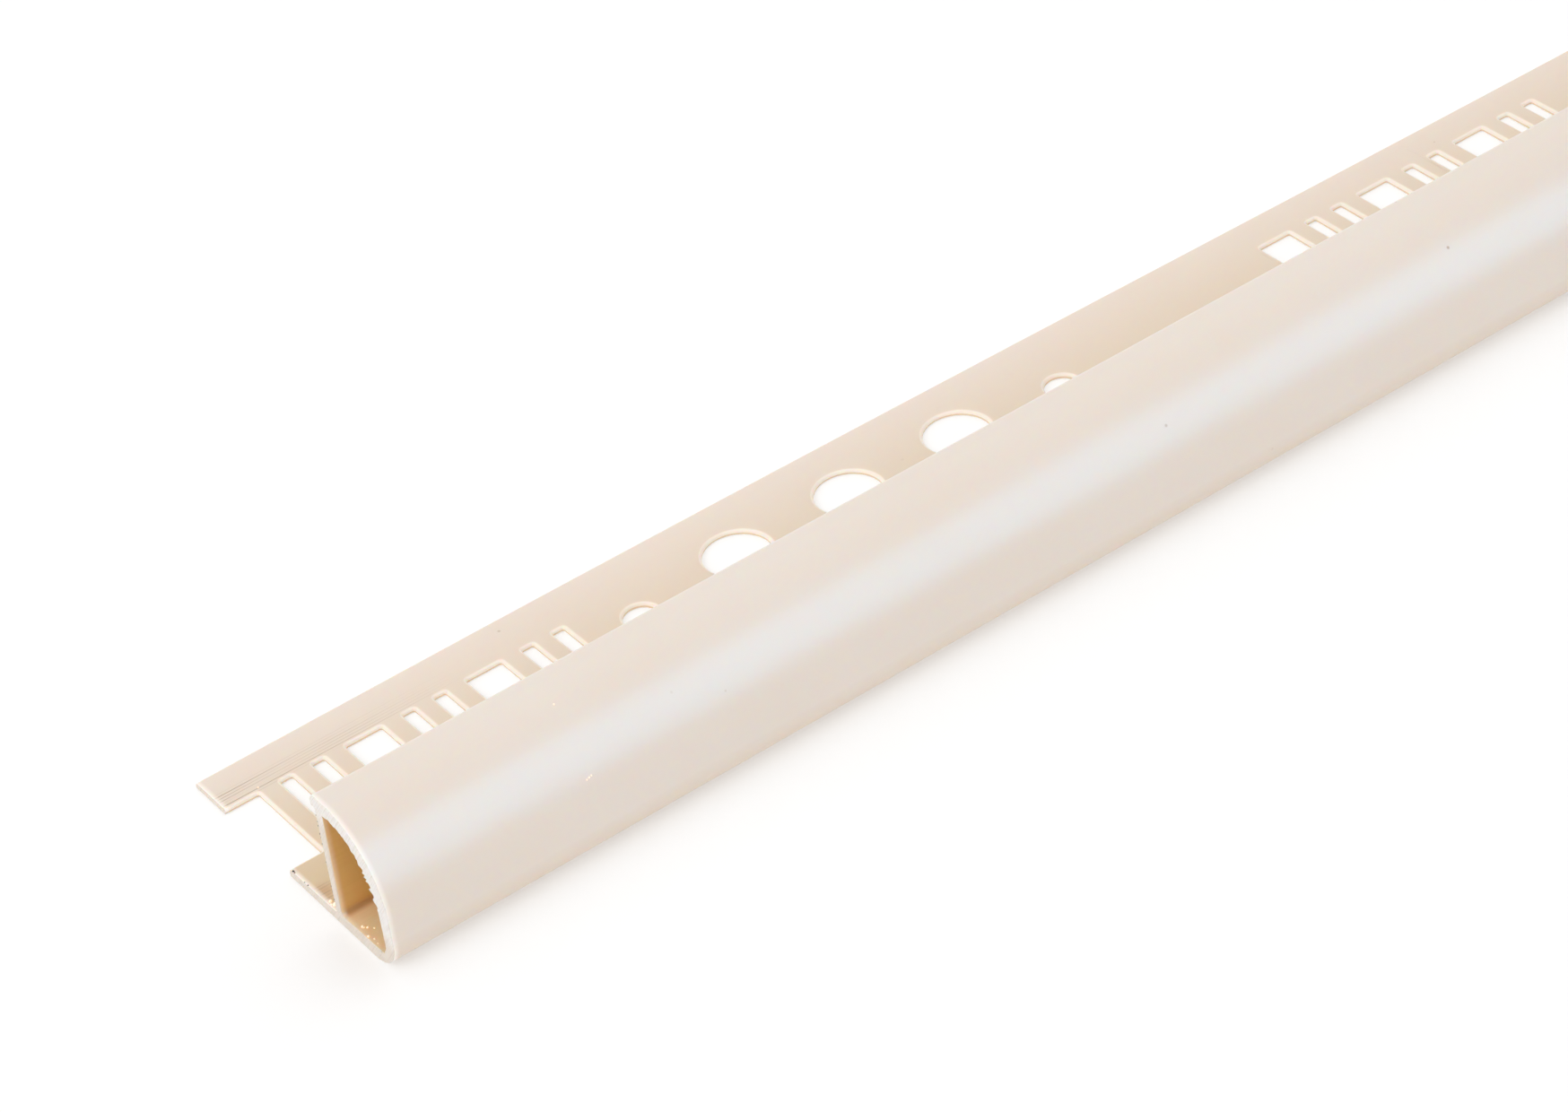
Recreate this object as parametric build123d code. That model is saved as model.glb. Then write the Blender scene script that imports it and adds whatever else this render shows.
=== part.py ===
"""Rounded-edge tile trim: one length of rigid PVC, extruded as a hollow section and punched along its flange.

The trim lies on its flat base with the rounded face towards -Y and the flange towards +Y.
Its length runs along X, and the origin is at the middle of the base. All sizes are in millimetres.
"""

import os
from math import ceil, floor

from build123d import *

# Stock length and the rounded face that shows beside the tile
LENGTH = 1250.0
HEIGHT = 11.0
FRONT_RADIUS = 6.0
FACE_WALL = 1.05
BASE_CORNER_RADIUS = 2.8

# Lip over the tile's edge, and the web that the tile butts against
LIP_LAND = 1.8
LIP_OVERHANG = 0.5
LIP_ROUNDING = 0.6
WEB_THICKNESS = 0.7
WEB_FILLET = 0.3

# Base under the chamber, and the flange, which thins towards its tip
BASE_THICKNESS = 1.0
CHAMBER_CORNER_RADIUS = 0.9
FLANGE_WIDTH = 18.2
FLANGE_THICKNESS = 0.75
TIP_THICKNESS = 0.4
TIP_ROUNDING = 0.15

# Punched pattern: a row of round holes, then a row of windows and slots, repeated along the flange.
# Distances across the flange are from the web, and PATTERN_START is from the sawn end at -X.
PATTERN_PITCH = 93.0
PATTERN_START = 32.7
LARGE_HOLE_LINE = 12.2
LARGE_HOLE_RADIUS = 2.6
LARGE_HOLE_PITCH = 10.0
LARGE_HOLES = 3
SMALL_HOLE_LINE = 11.3
SMALL_HOLE_RADIUS = 1.35
SMALL_HOLE_SPACING = 9.1

# Windows and slots, set out from the first small hole back towards the sawn end
OPENING_LINE = 10.1
OPENING_LENGTH = 8.2
OPENING_SETS = 3
OPENING_SET_PITCH = 10.0
WINDOW_WIDTH = 3.0
SLOT_WIDTH = 1.0
SLOT_OFFSETS = (3.7, 6.3)
LAST_WINDOW_BEFORE_HOLES = 11.5

# How far the punch passes beyond the faces of the flange
PUNCH_OVERRUN = 1.0

# Places across the section, measured back from the rounded face
lip_end = FRONT_RADIUS + LIP_LAND
web_back = lip_end - LIP_OVERHANG
web_front = web_back - WEB_THICKNESS
width = web_back + FLANGE_WIDTH
lip_underside = HEIGHT - FACE_WALL
arc_centre_height = HEIGHT - FRONT_RADIUS

# The section is drawn from the rounded face backwards and from the base upwards
section_plane = Plane(origin=(-LENGTH / 2, -width / 2, 0), x_dir=(0, 1, 0), z_dir=(1, 0, 0))
flange_plane = Plane(origin=(-LENGTH / 2, web_back - width / 2, -PUNCH_OVERRUN))


def vertices_at(sketch, *places):
    """The corners of a sketch that lie nearest to the given places."""
    return [sketch.vertices().sort_by_distance(Vector(*place))[0] for place in places]


def outer_outline():
    """Outline of base, flange, web, lip and rounded face, without the chamber."""
    web_foot = (web_back, FLANGE_THICKNESS)
    tip_top = (width, TIP_THICKNESS)
    tip_bottom = (width, 0)
    lip_corner = (lip_end, HEIGHT)
    front_corner = (0, 0)
    with BuildSketch() as outline:
        with BuildLine():
            Polyline(
                (0, arc_centre_height),
                front_corner,
                tip_bottom,
                tip_top,
                web_foot,
                (web_back, lip_underside),
                (lip_end, lip_underside),
                lip_corner,
                (FRONT_RADIUS, HEIGHT),
            )
            RadiusArc((0, arc_centre_height), (FRONT_RADIUS, HEIGHT), FRONT_RADIUS)
        make_face()
        fillet(vertices_at(outline, front_corner), BASE_CORNER_RADIUS)
        fillet(vertices_at(outline, lip_corner), LIP_ROUNDING)
        fillet(vertices_at(outline, web_foot), WEB_FILLET)
        fillet(vertices_at(outline, tip_top, tip_bottom), TIP_ROUNDING)
    return outline.sketch


def chamber_outline():
    """Outline of the hollow between the rounded face, the web and the base."""
    inner_radius = FRONT_RADIUS - FACE_WALL
    floor_front = (FACE_WALL, BASE_THICKNESS)
    floor_back = (web_front, BASE_THICKNESS)
    with BuildSketch() as outline:
        with BuildLine():
            Polyline(
                (FACE_WALL, arc_centre_height),
                floor_front,
                (lip_end, BASE_THICKNESS),
                (lip_end, lip_underside),
                (FRONT_RADIUS, lip_underside),
            )
            RadiusArc((FACE_WALL, arc_centre_height), (FRONT_RADIUS, lip_underside), inner_radius)
        make_face()
        with Locations((web_front / 2, HEIGHT / 2)):
            Rectangle(web_front, HEIGHT, mode=Mode.INTERSECT)
        fillet(vertices_at(outline, floor_front), CHAMBER_CORNER_RADIUS)
        fillet(vertices_at(outline, floor_back), WEB_FILLET)
    return outline.sketch


def round_hole_row(first_hole):
    """Places along and across the flange, and radii, of one row of round holes: small, large ones, small."""
    first_large = first_hole + SMALL_HOLE_SPACING
    large = [first_large + i * LARGE_HOLE_PITCH for i in range(LARGE_HOLES)]
    small = [first_hole, large[-1] + SMALL_HOLE_SPACING]
    holes = [(x, SMALL_HOLE_LINE, SMALL_HOLE_RADIUS) for x in small]
    holes += [(x, LARGE_HOLE_LINE, LARGE_HOLE_RADIUS) for x in large]
    return holes


def opening_row(first_hole):
    """Places and widths of the windows and slots that come before a row of round holes."""
    openings = []
    for i in range(OPENING_SETS):
        window = first_hole - LAST_WINDOW_BEFORE_HOLES - i * OPENING_SET_PITCH
        openings.append((window, WINDOW_WIDTH))
        openings += [(window + offset, SLOT_WIDTH) for offset in SLOT_OFFSETS]
    return openings


def reaches_the_trim(place, half_width):
    """Whether an opening at this place along the flange touches the sawn length at all."""
    return place + half_width > 0 and place - half_width < LENGTH


def pattern_starts():
    """First small hole of every repeat that may reach the sawn length, whole or cut through."""
    first = floor(-PATTERN_START / PATTERN_PITCH) - 1
    last = ceil((LENGTH - PATTERN_START) / PATTERN_PITCH) + 1
    return [PATTERN_START + i * PATTERN_PITCH for i in range(first, last + 1)]


def punched_openings():
    """Everything that the punch takes out of the flange, as one solid for each opening."""
    depth = FLANGE_THICKNESS + 2 * PUNCH_OVERRUN
    punches = []
    for start in pattern_starts():
        for place, line, radius in round_hole_row(start):
            if reaches_the_trim(place, radius):
                hole = Pos(place, line, depth / 2) * Cylinder(radius, depth)
                punches.append(flange_plane * hole)
        for place, opening_width in opening_row(start):
            if reaches_the_trim(place, opening_width / 2):
                opening = Pos(place, OPENING_LINE, depth / 2) * Box(opening_width, OPENING_LENGTH, depth)
                punches.append(flange_plane * opening)
    return punches


section = outer_outline() - chamber_outline()
trim = extrude(section_plane * section, LENGTH) - punched_openings()

os.makedirs("parts", exist_ok=True)
export_step(trim, "parts/tile_trim.step")
print("width", round(width, 3), "volume", round(trim.volume), "solids", len(trim.solids()))
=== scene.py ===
# %% [markdown]
# # A length of PVC tile trim
# The real object is one extruded bar of rigid cream PVC. It has a hollow rounded face that shows beside the
# last tile, a thin web that the tile butts against, and a flange that is bedded in the adhesive and punched
# along its whole length so that the adhesive can grip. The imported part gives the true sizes. This lesson
# makes a finer mesh of the same bar in the way the factory does: draw the section, extrude it, punch it, saw
# it.

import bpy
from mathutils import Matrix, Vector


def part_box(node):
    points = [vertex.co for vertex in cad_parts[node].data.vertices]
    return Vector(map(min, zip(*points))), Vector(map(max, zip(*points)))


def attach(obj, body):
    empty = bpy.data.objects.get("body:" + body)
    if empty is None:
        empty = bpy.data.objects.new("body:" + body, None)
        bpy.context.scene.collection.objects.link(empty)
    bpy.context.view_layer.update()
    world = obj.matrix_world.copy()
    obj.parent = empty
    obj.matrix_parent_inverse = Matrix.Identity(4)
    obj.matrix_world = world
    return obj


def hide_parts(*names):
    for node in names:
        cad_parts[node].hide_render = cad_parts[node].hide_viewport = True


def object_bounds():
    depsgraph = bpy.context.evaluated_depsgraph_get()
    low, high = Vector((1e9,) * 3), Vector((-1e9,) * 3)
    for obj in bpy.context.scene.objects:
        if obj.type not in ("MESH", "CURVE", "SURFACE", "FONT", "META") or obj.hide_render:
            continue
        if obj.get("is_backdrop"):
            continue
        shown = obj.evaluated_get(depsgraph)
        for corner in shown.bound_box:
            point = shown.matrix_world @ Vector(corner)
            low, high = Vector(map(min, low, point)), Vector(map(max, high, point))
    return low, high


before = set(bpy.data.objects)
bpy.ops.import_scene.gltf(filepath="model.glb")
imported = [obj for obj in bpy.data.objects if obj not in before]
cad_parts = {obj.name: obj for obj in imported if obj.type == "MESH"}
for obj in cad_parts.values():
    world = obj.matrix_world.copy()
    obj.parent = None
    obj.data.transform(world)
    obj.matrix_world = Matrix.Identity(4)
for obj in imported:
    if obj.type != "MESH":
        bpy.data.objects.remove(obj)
cad_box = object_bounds()

# %% [markdown]
# ## Tools and sizes
# Blender measures in metres, but a maker draws a bar like this in millimetres, so MM turns the one into the
# other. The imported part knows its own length, width and height. They could be typed again here, but reading
# them keeps the finer mesh in step with the part.

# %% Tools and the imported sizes
import math

import bmesh
import bpy
from mathutils import Quaternion, Vector, noise

MM = 0.001
scene = bpy.context.scene
low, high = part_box("tile_trim")
length, width, height = (round(side / MM, 3) for side in high - low)
print("packed trim, mm:", length, width, height)

# %% [markdown]
# ## Camera
# The photograph was taken from beside the near sawn end with a long lens, looking down along the bar. A
# camera can be turned by Euler angles, but a place, an aim and a roll are easier to read and to correct. The
# focal length is kept in pixels of the photograph, which is what a fit to its outlines gives.

# %% Camera at the photograph's view
PHOTO_WIDTH = 1748
FOCAL_PIXELS = 5227
SENSOR_WIDTH = 36.0
CAMERA_PLACE = (-720.60, -214.74, 206.39)
CAMERA_AIM = (-584.09, -0.65, 5.0)
CAMERA_ROLL = -7.19

lens = bpy.data.cameras.new("photo_view")
lens.sensor_width = SENSOR_WIDTH
lens.lens = FOCAL_PIXELS * SENSOR_WIDTH / PHOTO_WIDTH
camera = bpy.data.objects.new("photo_view", lens)
scene.collection.objects.link(camera)
sight = Vector(CAMERA_AIM) - Vector(CAMERA_PLACE)
roll = Quaternion((0, 0, 1), math.radians(CAMERA_ROLL))
camera.location = Vector(CAMERA_PLACE) * MM
camera.rotation_mode = "QUATERNION"
camera.rotation_quaternion = sight.to_track_quat("-Z", "Y") @ roll
scene.camera = camera
print("lens, mm:", round(lens.lens, 2), "distance to the aim, mm:", round(sight.length, 1))

# %% [markdown]
# ## The section
# An extrusion die gives every length the same section, so the bar starts as a flat outline: eight corners
# outside and four round the chamber. The mesh is drawn in millimetres, with x from the near sawn end, y from
# the rounded face and z from the base, and it moves into the part's frame at the end. Extruding the edges of
# the outline makes walls that are open at both ends, which is what a saw needs later.

# %% Walls of one repeat of the bar
FACE_WALL = 1.05
FRONT_RADIUS = 6.0
LIP_LAND = 1.8
LIP_OVERHANG = 0.5
WEB_THICKNESS = 0.7
BASE_THICKNESS = 1.0
FLANGE_THICKNESS = 0.75
TIP_THICKNESS = 0.4
PATTERN_PITCH = 93.0
FIRST_HOLE = 32.7
BARE_BEFORE_PATTERN = 43.0

POLISHED, CHAMBER, SHEARED, SAWN = range(4)  # the finishes, in the order of the bar's material slots
lip_end = FRONT_RADIUS + LIP_LAND
web_back = lip_end - LIP_OVERHANG
web_front = web_back - WEB_THICKNESS
lip_underside = height - FACE_WALL
repeat_start = FIRST_HOLE - BARE_BEFORE_PATTERN


def bar_walls(bm, corners, finish):
    """Walls of one repeat of the bar round this outline, open at both ends."""
    verts = [bm.verts.new((repeat_start, y, z)) for y, z in corners]
    edges = [bm.edges.new(pair) for pair in zip(verts, verts[1:] + verts[:1])]
    drawn = bmesh.ops.extrude_edge_only(bm, edges=edges)["geom"]
    far = [part for part in drawn if isinstance(part, bmesh.types.BMVert)]
    bmesh.ops.translate(bm, verts=far, vec=(PATTERN_PITCH, 0, 0))
    for part in drawn:
        if isinstance(part, bmesh.types.BMFace):
            part.material_index = finish


bar = bmesh.new()
bar_walls(bar, [(0, 0), (width, 0), (width, TIP_THICKNESS), (web_back, FLANGE_THICKNESS),
                (web_back, lip_underside), (lip_end, lip_underside), (lip_end, height), (0, height)],
          POLISHED)
bar_walls(bar, [(FACE_WALL, BASE_THICKNESS), (FACE_WALL, lip_underside),
                (web_front, lip_underside), (web_front, BASE_THICKNESS)], CHAMBER)
print("walls of the bar:", len(bar.faces))

# %% [markdown]
# ## Rounded corners
# The round face is nothing but a large radius on the bar's upper front corner, and the chamber behind it has
# the same centre and a smaller radius. The bevel operator makes all of them, because a bevel with a profile
# of 0.5 on a right angle is a true quarter circle whose radius is the offset. Even the corners that look
# sharp get a tenth of a millimetre, because no die leaves a knife edge and the eye looks for the thin light
# line.

# %% Round the long edges
TOUCH = 0.001
BASE_CORNER_RADIUS = 2.8
CHAMBER_CORNER_RADIUS = 0.9
LIP_ROUNDING = 0.6
WEB_FILLET = 0.3
OUTER_EDGE_ROUNDING = 0.15
INNER_EDGE_ROUNDING = 0.1

CORNERS = (  # y, z, radius, segments
    (0, height, FRONT_RADIUS, 40),
    (0, 0, BASE_CORNER_RADIUS, 16),
    (lip_end, height, LIP_ROUNDING, 8),
    (lip_end, lip_underside, OUTER_EDGE_ROUNDING, 3),
    (web_back, lip_underside, INNER_EDGE_ROUNDING, 3),
    (web_back, FLANGE_THICKNESS, WEB_FILLET, 6),
    (width, TIP_THICKNESS, OUTER_EDGE_ROUNDING, 4),
    (width, 0, OUTER_EDGE_ROUNDING, 4),
    (FACE_WALL, lip_underside, FRONT_RADIUS - FACE_WALL, 48),
    (FACE_WALL, BASE_THICKNESS, CHAMBER_CORNER_RADIUS, 12),
    (web_front, BASE_THICKNESS, WEB_FILLET, 6),
    (web_front, lip_underside, INNER_EDGE_ROUNDING, 3),
)

for y, z, radius, segments in CORNERS:
    long_edge = [edge for edge in bar.edges
                 if all(abs(v.co.y - y) < TOUCH and abs(v.co.z - z) < TOUCH for v in edge.verts)]
    bmesh.ops.bevel(bar, geom=long_edge, offset=radius, offset_type="OFFSET", segments=segments,
                    profile=0.5, affect="EDGES", material=-1)
print("walls after rounding:", len(bar.faces))

# %% [markdown]
# ## Setting out the punched row
# On the real bar a press punches the same row again and again: a small round hole, three large ones, a small
# one, then windows and slots. Cutting the holes with a Boolean modifier would work, but it leaves ragged
# triangles on the flange. Here each opening gets a cell of its own, cut out by planes, so the mesh stays
# clean round every rim and the rims can be rounded afterwards.

# %% Where the openings are in one repeat
LARGE_HOLES, LARGE_HOLE_PITCH = 3, 10.0
LARGE_HOLE_LINE, LARGE_HOLE_RADIUS = 12.2, 2.6
SMALL_HOLE_LINE, SMALL_HOLE_RADIUS, SMALL_HOLE_SPACING = 11.3, 1.35, 9.1
OPENING_LINE, OPENING_LENGTH, WINDOW_WIDTH, SLOT_WIDTH = 10.1, 8.2, 3.0, 1.0
OPENING_SETS, OPENING_SET_PITCH = 3, 10.0
SLOT_OFFSETS, LAST_WINDOW_BEFORE_HOLES = (3.7, 6.3), 11.5

large = [FIRST_HOLE + SMALL_HOLE_SPACING + i * LARGE_HOLE_PITCH for i in range(LARGE_HOLES)]
small = [FIRST_HOLE, large[-1] + SMALL_HOLE_SPACING]
round_holes = [(x, web_back + LARGE_HOLE_LINE, LARGE_HOLE_RADIUS) for x in large]
round_holes += [(x, web_back + SMALL_HOLE_LINE, SMALL_HOLE_RADIUS) for x in small]

openings = []
for i in range(OPENING_SETS):
    window = FIRST_HOLE - LAST_WINDOW_BEFORE_HOLES - i * OPENING_SET_PITCH
    openings.append((window, WINDOW_WIDTH / 2))
    openings += [(window + offset, SLOT_WIDTH / 2) for offset in SLOT_OFFSETS]
print("one repeat has", len(round_holes), "round holes and", len(openings), "windows and slots")

# %% [markdown]
# ## Faces of the flange
# The punch meets only the flange, so its faces are marked as top, underside or tip. They could be found by
# their place before each cut, but a number on a face is handed on to both halves when the face is cut, so
# one marking lasts through all the planes that follow.

# %% Mark the faces of the flange
FLANGE_START = 8.0
NEARLY_LEVEL = 0.99
TOP, UNDERSIDE, TIP = range(1, 4)
side = bar.faces.layers.int.new("side")


def cut(bm, faces, place, direction):
    """Cuts only these faces along a plane."""
    edges = dict.fromkeys(edge for face in faces for edge in face.edges)
    verts = dict.fromkeys(vert for face in faces for vert in face.verts)
    bmesh.ops.bisect_plane(bm, geom=[*faces, *edges, *verts], dist=TOUCH, plane_co=place, plane_no=direction)


cut(bar, bar.faces[:], (0, FLANGE_START, 0), (0, 1, 0))
bar.normal_update()
for face in bar.faces:
    centre = face.calc_center_median()
    if centre.y > FLANGE_START and centre.z < FLANGE_THICKNESS:
        level = abs(face.normal.z) > NEARLY_LEVEL
        face[side] = (UNDERSIDE if centre.z < TOUCH else TOP) if level else TIP
print("flange faces:", sum(1 for face in bar.faces if face[side]))

# %% [markdown]
# ## Cells for the openings
# Each opening gets a rectangular cell of its own on the top and on the underside of the flange, a little
# larger than the opening. Planes across the bar cut the cells' short sides for all openings at once. The two
# long bare stretches are cut too, because thin faces that run on for centimetres shade badly once the tip is
# bent.

# %% Cut the flange into cells
CELL_MARGIN = 0.45
LONGEST_STRETCH = 5.0

edges_along = [x + sign * (half + CELL_MARGIN) for x, half in openings for sign in (-1, 1)]
edges_along += [x + sign * (radius + CELL_MARGIN) for x, _, radius in round_holes for sign in (-1, 1)]
bare_stretches = ((repeat_start, min(edges_along)), (max(edges_along), repeat_start + PATTERN_PITCH))
for before, after in bare_stretches:
    steps = math.ceil((after - before) / LONGEST_STRETCH)
    edges_along += [before + (after - before) * i / steps for i in range(1, steps)]
for x in sorted(edges_along):
    cut(bar, [face for face in bar.faces if face[side]], (x, 0, 0), (1, 0, 0))


def cell_at(bm, layer, x, y, half_x, half_y):
    """Cuts a rectangle free on one side of the flange and returns its face."""
    def column():
        return [face for face in bm.faces
                if face[side] == layer and abs(face.calc_center_median().x - x) < half_x]
    for line in (y - half_y, y + half_y):
        cut(bm, column(), (0, line, 0), (0, 1, 0))
    return next(face for face in column() if abs(face.calc_center_median().y - y) < half_y)


print("cuts across the flange in one repeat:", len(edges_along))

# %% [markdown]
# ## Outlines of the openings
# The punch for a slot or a window has slightly rounded corners, and the punch for a hole is round. Both
# outlines are single flat faces: a rectangle whose corners get a vertex bevel, or a filled circle. They are
# drawn larger than the opening by the roll of its rim, which the next step turns down.

# %% Draw an opening's outline
WINDOW_CORNER = 0.18
CORNER_STEPS = 4
CIRCLE_STEPS = 40
RECTANGLE = ((-1, -1), (1, -1), (1, 1), (-1, 1))


def window_outline(bm, x, y, half_x, half_y, roll):
    """A rectangle with rounded corners, larger than the window by the roll of its rim."""
    across, along = half_x + roll, half_y + roll
    corners = [bm.verts.new((x + i * across, y + j * along, 0)) for i, j in RECTANGLE]
    bm.faces.new(corners)
    rounded = bmesh.ops.bevel(bm, geom=corners, offset=WINDOW_CORNER + roll, offset_type="OFFSET",
                              segments=CORNER_STEPS, profile=0.5, affect="VERTICES", material=-1)
    return rounded["verts"][0].link_faces[0]


def hole_outline(bm, x, y, radius, roll):
    """A circle, larger than the hole by the roll of its rim."""
    ring = bmesh.ops.create_circle(bm, cap_ends=True, segments=CIRCLE_STEPS, radius=radius + roll)["verts"]
    bmesh.ops.translate(bm, verts=ring, vec=(x, y, 0))
    return ring[0].link_faces[0]


print("points of an outline: window", len(RECTANGLE) * (CORNER_STEPS + 1), "hole", CIRCLE_STEPS)

# %% [markdown]
# ## Rolled rims and sheared walls
# A punch draws the skin down before it shears through, so the upper rim of each opening is a soft roll that
# has turned pale, and the lower rim has a smaller roll. A bevel after the cut could do this, but it trips
# over the cells' edges at the corners. So the outline is set in its cell first, and each step of the roll is
# an inset with some depth, down a quarter circle. The two outlines are then taken out and their rims bridged,
# which makes the sheared wall. A number on each vertex tells the finish where the rim is painted pale: partly
# the whitening of strained plastic, partly a painted highlight where the roll catches the light.

# %% Set an outline in the flange
# Pale rims: partly the whitening of strained plastic, partly a painted highlight where the rolled rim catches
# the light.
RIM_STRAIN_AND_SHEEN = 0.6
strain_and_sheen = bar.verts.layers.float.new("strain_and_sheen")


def flange_top(y):
    """Height of the tapered flange at this distance from the rounded face."""
    share = (y - web_back) / (width - web_back)
    return FLANGE_THICKNESS + share * (TIP_THICKNESS - FLANGE_THICKNESS)


def set_in_cell(bm, cell, outline, layer):
    """Lays the outline in its cell, facing out, and fills the flat margin round it."""
    for vert in outline.verts:
        vert.co.z = flange_top(vert.co.y) if layer == TOP else 0
    outline.normal_update()
    if (outline.normal.z > 0) != (layer == TOP):
        outline.normal_flip()
    border = cell.edges[:]
    bmesh.ops.delete(bm, geom=[cell], context="FACES_ONLY")
    margin = bmesh.ops.triangle_fill(bm, edges=border + outline.edges[:], normal=outline.normal)["geom"]
    for part in margin:
        if isinstance(part, bmesh.types.BMFace):
            part[side] = layer


def roll_rim(bm, outline, roll, steps):
    """Turns the skin down into the opening along a quarter circle."""
    for i in range(steps):
        turn, next_turn = math.pi / 2 * i / steps, math.pi / 2 * (i + 1) / steps
        inwards = roll * (math.sin(next_turn) - math.sin(turn))
        down = roll * (math.cos(turn) - math.cos(next_turn))
        bmesh.ops.inset_individual(bm, faces=[outline], thickness=inwards, depth=-down, use_even_offset=True)
        for vert in outline.verts:
            vert[strain_and_sheen] = RIM_STRAIN_AND_SHEEN


print("flange thickness at the large holes, mm:", round(flange_top(web_back + LARGE_HOLE_LINE), 3))

# %% [markdown]
# ## The punch
# On the press, every opening of the row is struck in the same way, whatever its outline. So one function
# strikes any opening, and it is told which outline to draw. The windows and slots come first, then the round
# holes.

# %% Punch the openings of one repeat
RIM_ROLLS = ((TOP, 0.24, 4), (UNDERSIDE, 0.12, 3))  # side of the flange, and radius and steps of its roll


def shear_through(bm, outlines):
    """Takes out the two outlines and joins their rims by a sheared wall."""
    rims = [edge for outline in outlines for edge in outline.edges]
    bmesh.ops.delete(bm, geom=outlines, context="FACES_ONLY")
    for wall in bmesh.ops.bridge_loops(bm, edges=rims)["faces"]:
        wall.material_index = SHEARED


def punch(bm, x, y, half_x, half_y, draw_outline, size):
    """Punches one opening, whose outline this function draws from this size."""
    outlines = []
    for layer, roll, steps in RIM_ROLLS:
        cell = cell_at(bm, layer, x, y, half_x + CELL_MARGIN, half_y + CELL_MARGIN)
        outline = draw_outline(bm, x, y, *size, roll)
        set_in_cell(bm, cell, outline, layer)
        roll_rim(bm, outline, roll, steps)
        outlines.append(outline)
    shear_through(bm, outlines)


for x, half in openings:
    size = (half, OPENING_LENGTH / 2)
    punch(bar, x, web_back + OPENING_LINE, *size, window_outline, size)
for x, y, radius in round_holes:
    punch(bar, x, y, radius, radius, hole_outline, (radius,))
print("faces of one punched repeat:", len(bar.faces))

# %% [markdown]
# ## The stock and the saw
# The press repeats its row down the bar and the saw cuts wherever the length falls, so both ends run through
# an opening. An Array modifier could repeat the row, but the saw has to cut what it makes. So copies of the
# one repeat are set end to end and merged, and two planes cut the bar to length. Just behind each cut
# another plane leaves a narrow ring of faces, so that the pale margin of the cut, partly strain whitening and
# partly painted light, stays narrow.

# %% Repeat the punched bar and saw it to length
STRAIN_AND_SHEEN_MARGIN = 0.45
saw_cuts = ((0, -1), (length, 1))  # the place of each cut along the bar, and the side of its waste

repeats = math.ceil((length - repeat_start) / PATTERN_PITCH)
one_repeat = bar.verts[:] + bar.edges[:] + bar.faces[:]
for i in range(1, repeats):
    copy = bmesh.ops.duplicate(bar, geom=one_repeat)["geom"]
    moved = [part for part in copy if isinstance(part, bmesh.types.BMVert)]
    bmesh.ops.translate(bar, verts=moved, vec=(i * PATTERN_PITCH, 0, 0))
bmesh.ops.remove_doubles(bar, verts=bar.verts[:], dist=TOUCH)


def saw(bm, x, direction, throw_away):
    """Cuts the whole bar across, and may throw away what lies beyond the cut."""
    everything = bm.verts[:] + bm.edges[:] + bm.faces[:]
    bmesh.ops.bisect_plane(bm, geom=everything, dist=TOUCH, plane_co=(x, 0, 0), plane_no=(direction, 0, 0),
                           clear_outer=throw_away)


for x, direction in saw_cuts:
    saw(bar, x, direction, True)
    saw(bar, x - direction * STRAIN_AND_SHEEN_MARGIN, direction, False)
print("repeats:", repeats, "faces:", len(bar.faces))

# %% [markdown]
# ## Sawn ends
# A sawn end shows the section as one flat face with a hole where the chamber runs, and notches where the saw
# went through an opening. A single polygon can't hold a hole, but triangle fill copes with both. The edge of
# the cut is marked palest of all: partly the whitening of strained skin, partly painted light at the edge.

# %% Close the sawn ends
# The cut's edge is painted palest: partly the whitening of strained plastic, partly painted light at the
# edge.
CUT_STRAIN_AND_SHEEN = 1.0

sawn_faces = {}
for x, direction in saw_cuts:
    cut_edges = [edge for edge in bar.edges
                 if edge.is_boundary and all(abs(v.co.x - x) < TOUCH for v in edge.verts)]
    for vert in dict.fromkeys(vert for edge in cut_edges for vert in edge.verts):
        vert[strain_and_sheen] = CUT_STRAIN_AND_SHEEN
    filled = bmesh.ops.triangle_fill(bar, edges=cut_edges, normal=(direction, 0, 0), use_beauty=True)["geom"]
    sawn_faces[x] = [part for part in filled if isinstance(part, bmesh.types.BMFace)]
    for face in sawn_faces[x]:
        face.material_index = SAWN
bmesh.ops.recalc_face_normals(bar, faces=bar.faces[:])
print("open edges:", sum(1 for edge in bar.edges if not edge.is_manifold),
      "volume, mm3:", round(bar.calc_volume(signed=True)))

# %% [markdown]
# ## Broken edges and burr
# The saw breaks the edge of the cut a little and pushes a ragged fringe of burr over the inner edge of the
# round wall, deepest about two thirds of the way up. The cut could be left flat with a bumpy material, but
# the fringe shows against the dark chamber, so it is shape: the sawn face is inset by a hair, its old edge
# sinks by an uneven amount, and the chamber's edge is pushed inwards, tooth by tooth, by a noise that
# depends only on the place.

# %% Break the sawn edges and raise the burr
EDGE_BREAK = 0.09
BURR_REACH, LEAST_BURR = 0.42, 0.3
BURR_LOW, BURR_HIGH = 4.5, 9.9
TOOTH_SIZE, TOOTH_CONTRAST, LEAST_TOOTH = 0.14, 5.0, 0.5
BURR_SHIFT = Vector((0, 7, 0))
SOFT_CONTRAST = 1.6


def unevenness(place, size, contrast=SOFT_CONTRAST):
    """A number from 0 to 1 that changes over this many millimetres."""
    return 0.5 + 0.5 * max(-1.0, min(1.0, contrast * noise.noise(place / size)))


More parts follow.
